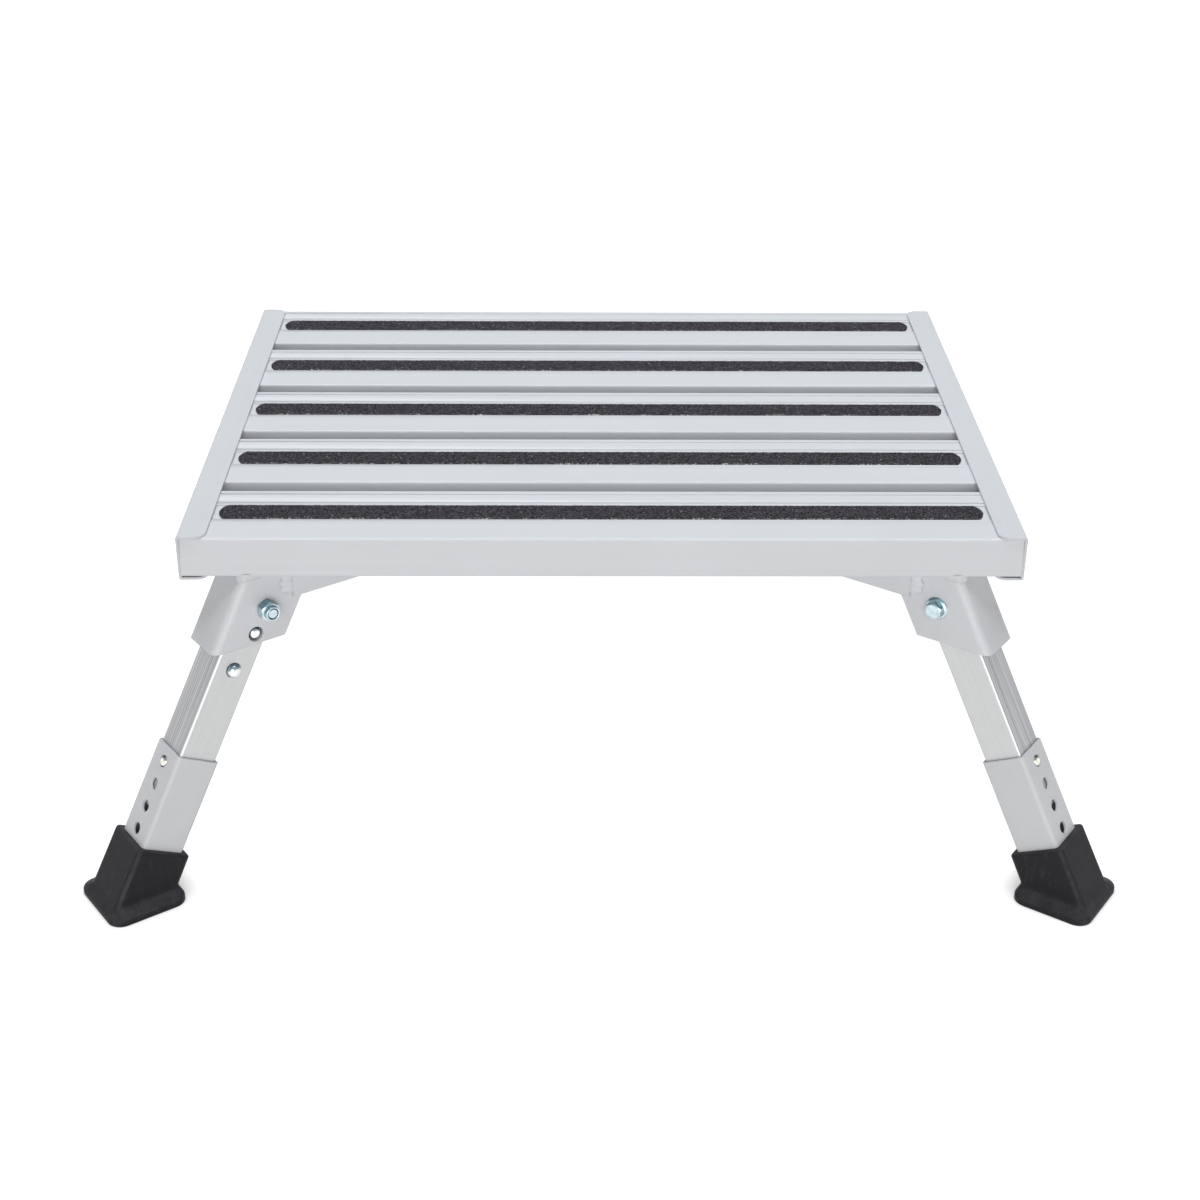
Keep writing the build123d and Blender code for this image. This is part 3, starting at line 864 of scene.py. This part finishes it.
def grit_band(name):
    """One strip: rows along X, and in each row the rough top from front to rear and the two lower edges."""
    low, high = (np.array(corner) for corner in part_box(name))
    span = high[0] - low[0]
    end = end_cut * (1 - np.cos(np.linspace(0.0, pi / 2, end_rows)))
    inner = np.arange(end_cut + grain_size, span - end_cut, grain_size)
    along = np.concatenate([end, inner, span - end[::-1]])
    half = (high[1] - low[1]) / 2 * width_share(np.minimum(along, span - along))[:, None]
    across_top = half * np.linspace(-1.0, 1.0, grains_across)
    y = (low[1] + high[1]) / 2 + np.concatenate([across_top, half, -half], axis=1)
    x = np.broadcast_to(low[0] + along[:, None], y.shape)
    points = np.stack([x, y, np.full(y.shape, low[2])], axis=-1)
    top = points[1:-1, :grains_across]
    top[..., 2] = high[2] - grain_depth * dice.random(top.shape[:2])
    grains = points[end_rows:-end_rows, 1:grains_across - 1, :2]
    grains += grain_jitter * grain_size * (dice.random(grains.shape) - 0.5)
    return points


for strip in sorted(name for name in nodes if name.startswith("grip_strip_")):
    band = make_piece(strip.replace("grip_strip", "grit_band"), [grit_band(strip)], grip_grit, "deck")
    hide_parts(strip)

# %% [markdown]
# ## Weld beads
# Each bracket is tacked to the slat above it at its two bends, and each gusset bar has an upright bead where
# it meets the cheek. A bead is a profile carried along a path: a bulging arc from one plate to the other. Its
# size swells and sinks along the path, as a hand-fed weld does, and it shrinks to nothing at both ends. The
# paint covers it, so it takes the finish of the frame.

# %% The profile and the path
profile_points = 13
end_taper = 1.6
ripple, ripple_step = 0.09, 0.0008
wave, wave_step = 0.12, 0.0021
bulge_share = 0.38
root_share = 0.1


def evenly(path, count):
    """The points of a path, spaced evenly along its length, and the distance to each."""
    steps = np.linalg.norm(np.diff(path, axis=0), axis=1)
    length = np.concatenate([[0.0], np.cumsum(steps)])
    wanted = np.linspace(0.0, length[-1], count)
    return np.stack([np.interp(wanted, length, path[:, k]) for k in range(3)], axis=-1), wanted


def bead(line, along, first, second, phase):
    """A bead along a line where two plates meet, from the vector first on one plate to second on the other.
    At each point, with u from 0 to 1 across the bead, the surface lies at
    (1 - u) * first + u * second, times 1 plus a bulge of sin(pi * u), times the swell of the bead."""
    size = min(np.linalg.norm(first[0]), np.linalg.norm(second[0]))
    ends = np.clip(np.minimum(along, along[-1] - along) / (end_taper * size), 0.0, 1.0)
    swell = np.sqrt(1 - (1 - ends) ** 2)
    swell *= 1 + ripple * np.sin(along / ripple_step + phase) + wave * np.sin(along / wave_step + 2 * phase)
    u = np.linspace(0.0, 1.0, profile_points)[:, None]
    bulge = 1 + bulge_share * np.sin(pi * u)
    front = bulge * ((1 - u) * first[:, None] + u * second[:, None])
    root = -root_share * (first + second)[:, None]
    profile = np.concatenate([front, root], axis=1)
    return line[:, None] + swell[:, None, None] * profile


print("Points across a bead:", profile_points + 1)

# %% Tacks at the bends of each bracket
tack_on_cheek = 0.007
tack_on_web = 0.003
tack_out = 0.0017
tack_up = 0.0013
tack_down = 0.0042
tack_rows, bend_rows = 120, 16
tack_phase = 1.7
lean = np.arccos(leg_axes["front_left"][2])
down_leg = np.array([sin(lean), 0.0, -cos(lean)])


def tack_path(side):
    """Along the cheek on one side, round the bend and onto the web, at the height of the slat."""
    turn = np.linspace(0.0, pi / 2, bend_rows)
    bend_x = web_at_top - bend_length * (1 - np.sin(turn))
    bend_y = cheek - bend_width * (1 - np.cos(turn))
    x = np.concatenate([[bend_x[0] - tack_on_cheek], bend_x, [web_at_top]])
    y = np.concatenate([[cheek], bend_y, [bend_y[-1] - tack_on_web]])
    return np.stack([x, side * y, np.full_like(x, bracket_top)], axis=-1)


def tack(side, phase):
    """One tack: out and up over the edge of the slat at its top, down along the leg at its foot."""
    line, along = evenly(tack_path(side), tack_rows)
    run = np.gradient(line, axis=0)
    level = side * np.stack([-run[:, 1], run[:, 0], np.zeros(len(run))], axis=-1)
    level /= np.linalg.norm(level, axis=1, keepdims=True)
    first = tack_out * level + np.array([0.0, 0.0, tack_up])
    second = np.broadcast_to(tack_down * down_leg, first.shape)
    return bead(line, along, first, second, phase)


bead_places = [(side, k, corner) for k, corner in enumerate(corner_names) for side in (-1, 1)]
tacks = [at_corner(tack(side, tack_phase * k + side), corner) for side, k, corner in bead_places]
bracket_tacks = make_piece("bracket_tacks", tacks, weld_paint, "deck")

# %% Upright beads at the gusset bars
bead_on_cheek = 0.0064
bead_on_bar = 0.003
bead_rows = 90
bead_phase = 2.1


def upright_bead(side, phase):
    """The bead down the outer end of one gusset bar, between it and the cheek on that side."""
    ends = np.array([[gusset_start, side * cheek, bracket_top], [gusset_start, side * cheek, gusset_low]])
    line, along = evenly(ends, bead_rows)
    first = np.broadcast_to(np.array([bead_on_cheek, 0.0, 0.0]), line.shape)
    second = np.broadcast_to(np.array([0.0, side * bead_on_bar, 0.0]), line.shape)
    return bead(line, along, first, second, phase)


beads = [at_corner(upright_bead(side, bead_phase * k + side), corner) for side, k, corner in bead_places]
gusset_welds = make_piece("gusset_welds", beads, weld_paint, "deck")

# %% [markdown]
# ## Bolts and nuts
# A hexagon head is turned as well as forged: its corners are cut by a cone, and that leaves the curved
# edges that catch the light. Taking the smaller of two radii gives just that shape, the radius of the
# hexagon at an angle and the radius of the cone at a height. The nut is a lock nut: a collar is rolled over
# its far end, and the end of the bolt sits just inside it. These surfaces stand for the plain CAD ones, and
# most of their sizes are measured there.

# %% Sizes of the fasteners
turn_steps = 96
pivot_reach = 0.02
cone_start = 0.46
cone_angle = np.radians(30.0)
angle = np.linspace(0.0, 2 * pi, turn_steps, endpoint=False)


def near_pivot(name):
    """The points of one fastener at the front left pivot, and their distances from its axis."""
    points = solid_points(name, "front_left")
    radii = np.hypot(points[:, 0], points[:, 2])
    near = radii < pivot_reach
    return points[near], radii[near]


bolt, bolt_radii = near_pivot("pivot_bolts")
nut, nut_radii = near_pivot("pivot_nuts")
head_end, tail_end = bolt[:, 1].min(), bolt[:, 1].max()
nut_near, nut_far = nut[:, 1].min(), nut[:, 1].max()
shank_radius = bolt_radii[bolt[:, 1] > tail_end - touch].max()
nut_flats = 2 * nut_radii.max() * cos(pi / 6)
head_flats = 0.0095
flange_radius = 0.0071
print("The CAD head has a flange of radius", round(1000 * bolt_radii.max(), 2), "mm")


def hexagon(flats):
    """Radius of a hexagon at each angle: half the flats over the cosine of the angle from the nearest one."""
    off_flat = (angle + pi / 6) % (pi / 3) - pi / 6
    return flats / 2 / np.cos(off_flat)


def turned(heights, radii):
    """Points at a radius for each height and angle, round the bolt's axis."""
    heights = np.broadcast_to(np.asarray(heights)[:, None], np.shape(radii))
    return np.stack([radii * np.cos(angle), heights, radii * np.sin(angle)], axis=-1)


def hexagon_under_cone(flats, depths):
    """The smaller of the hexagon and a cone of 30 degrees, at each depth below the end."""
    cone = cone_start * flats + np.asarray(depths)[:, None] / np.tan(cone_angle)
    return np.minimum(hexagon(flats)[None, :], cone)


def rings(radii):
    """Plain circles of the given radii."""
    return np.asarray(radii)[:, None] * np.ones(turn_steps)


print("Nut across flats:", round(1000 * nut_flats, 2), "mm, shank:", round(2000 * shank_radius, 2), "mm")

# %% The bolt
flange_depth = 0.0014
head_depth = -cheek - head_end - flange_depth
head_cone, head_cone_rows = 0.0009, 10
face_share = 0.3
flange_steps = np.array([0.0, 0.35, 0.7, 0.92, 1.0, 1.0])
flange_shares = np.array([0.8, 0.9, 0.97, 1.0, 0.985])
end_bevel = 0.0006


def bolt_surface():
    """Head, flange and shank as one grid, from the middle of the head to the middle of the end."""
    near = np.linspace(0.0, head_cone, head_cone_rows)
    depths = np.concatenate([[0.0, 0.0], near, [head_depth]])
    face = rings([0.0, face_share * head_flats])
    head = np.concatenate([face, hexagon_under_cone(head_flats, near), hexagon(head_flats)[None, :]])
    flange_depths = head_depth + flange_depth * flange_steps
    flange = rings([*(flange_radius * flange_shares), shank_radius])
    end = tail_end - head_end
    shank = rings([shank_radius, shank_radius - end_bevel, 0.0])
    heights = head_end + np.concatenate([depths, flange_depths, [end - end_bevel, end, end]])
    return turned(heights, np.concatenate([head, flange, shank]))


bolt_points = bolt_surface()
hex_bolts = make_piece("hex_bolts", [at_corner(bolt_points, c) for c in corner_names], zinc, "deck")
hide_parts("pivot_bolts")

# %% The lock nut
nut_hex = 0.0058
collar_radius = 0.0045
nut_cone, nut_cone_rows = 0.0008, 8
roll_radius, roll_rows = 0.0006, 15
bore_clearance = 0.00005
bore_radius = shank_radius + bore_clearance


def nut_surface():
    """Hexagon with both ends coned, then a rolled collar whose inside drops to the bore: a closed ring."""
    near = np.linspace(0.0, nut_cone, nut_cone_rows)
    lower = hexagon_under_cone(nut_flats, near)
    top = nut_far - nut_near
    roll = np.linspace(0.0, pi, roll_rows)
    rolled = collar_radius - roll_radius + roll_radius * np.cos(roll)
    rolled_height = top - roll_radius + roll_radius * np.sin(roll)
    inner_height = top - 2 * roll_radius
    collar = rings([collar_radius, *rolled, rolled[-1], bore_radius, bore_radius])
    collar_heights = np.array([nut_hex, *rolled_height, inner_height, inner_height, 0.0])
    heights = np.concatenate([near, nut_hex - near[::-1], collar_heights])
    return turned(nut_near + heights, np.concatenate([lower, lower[::-1], collar]))


nut_points = nut_surface()
lock_nuts = make_piece("lock_nuts", [at_corner(nut_points, c) for c in corner_names], zinc, "deck", True)
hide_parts("pivot_nuts")

# %% [markdown]
# ## Size
# Nothing that was added may make the step larger than the CAD model. The largest difference between the two
# boxes is printed.

# %% Compare the two boxes and finish
visual_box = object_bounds()
growth = max(max(abs(a - b) for a, b in zip(*pair)) for pair in zip(cad_box, visual_box))
print("Largest difference between the boxes:", round(1000 * growth, 3), "mm")
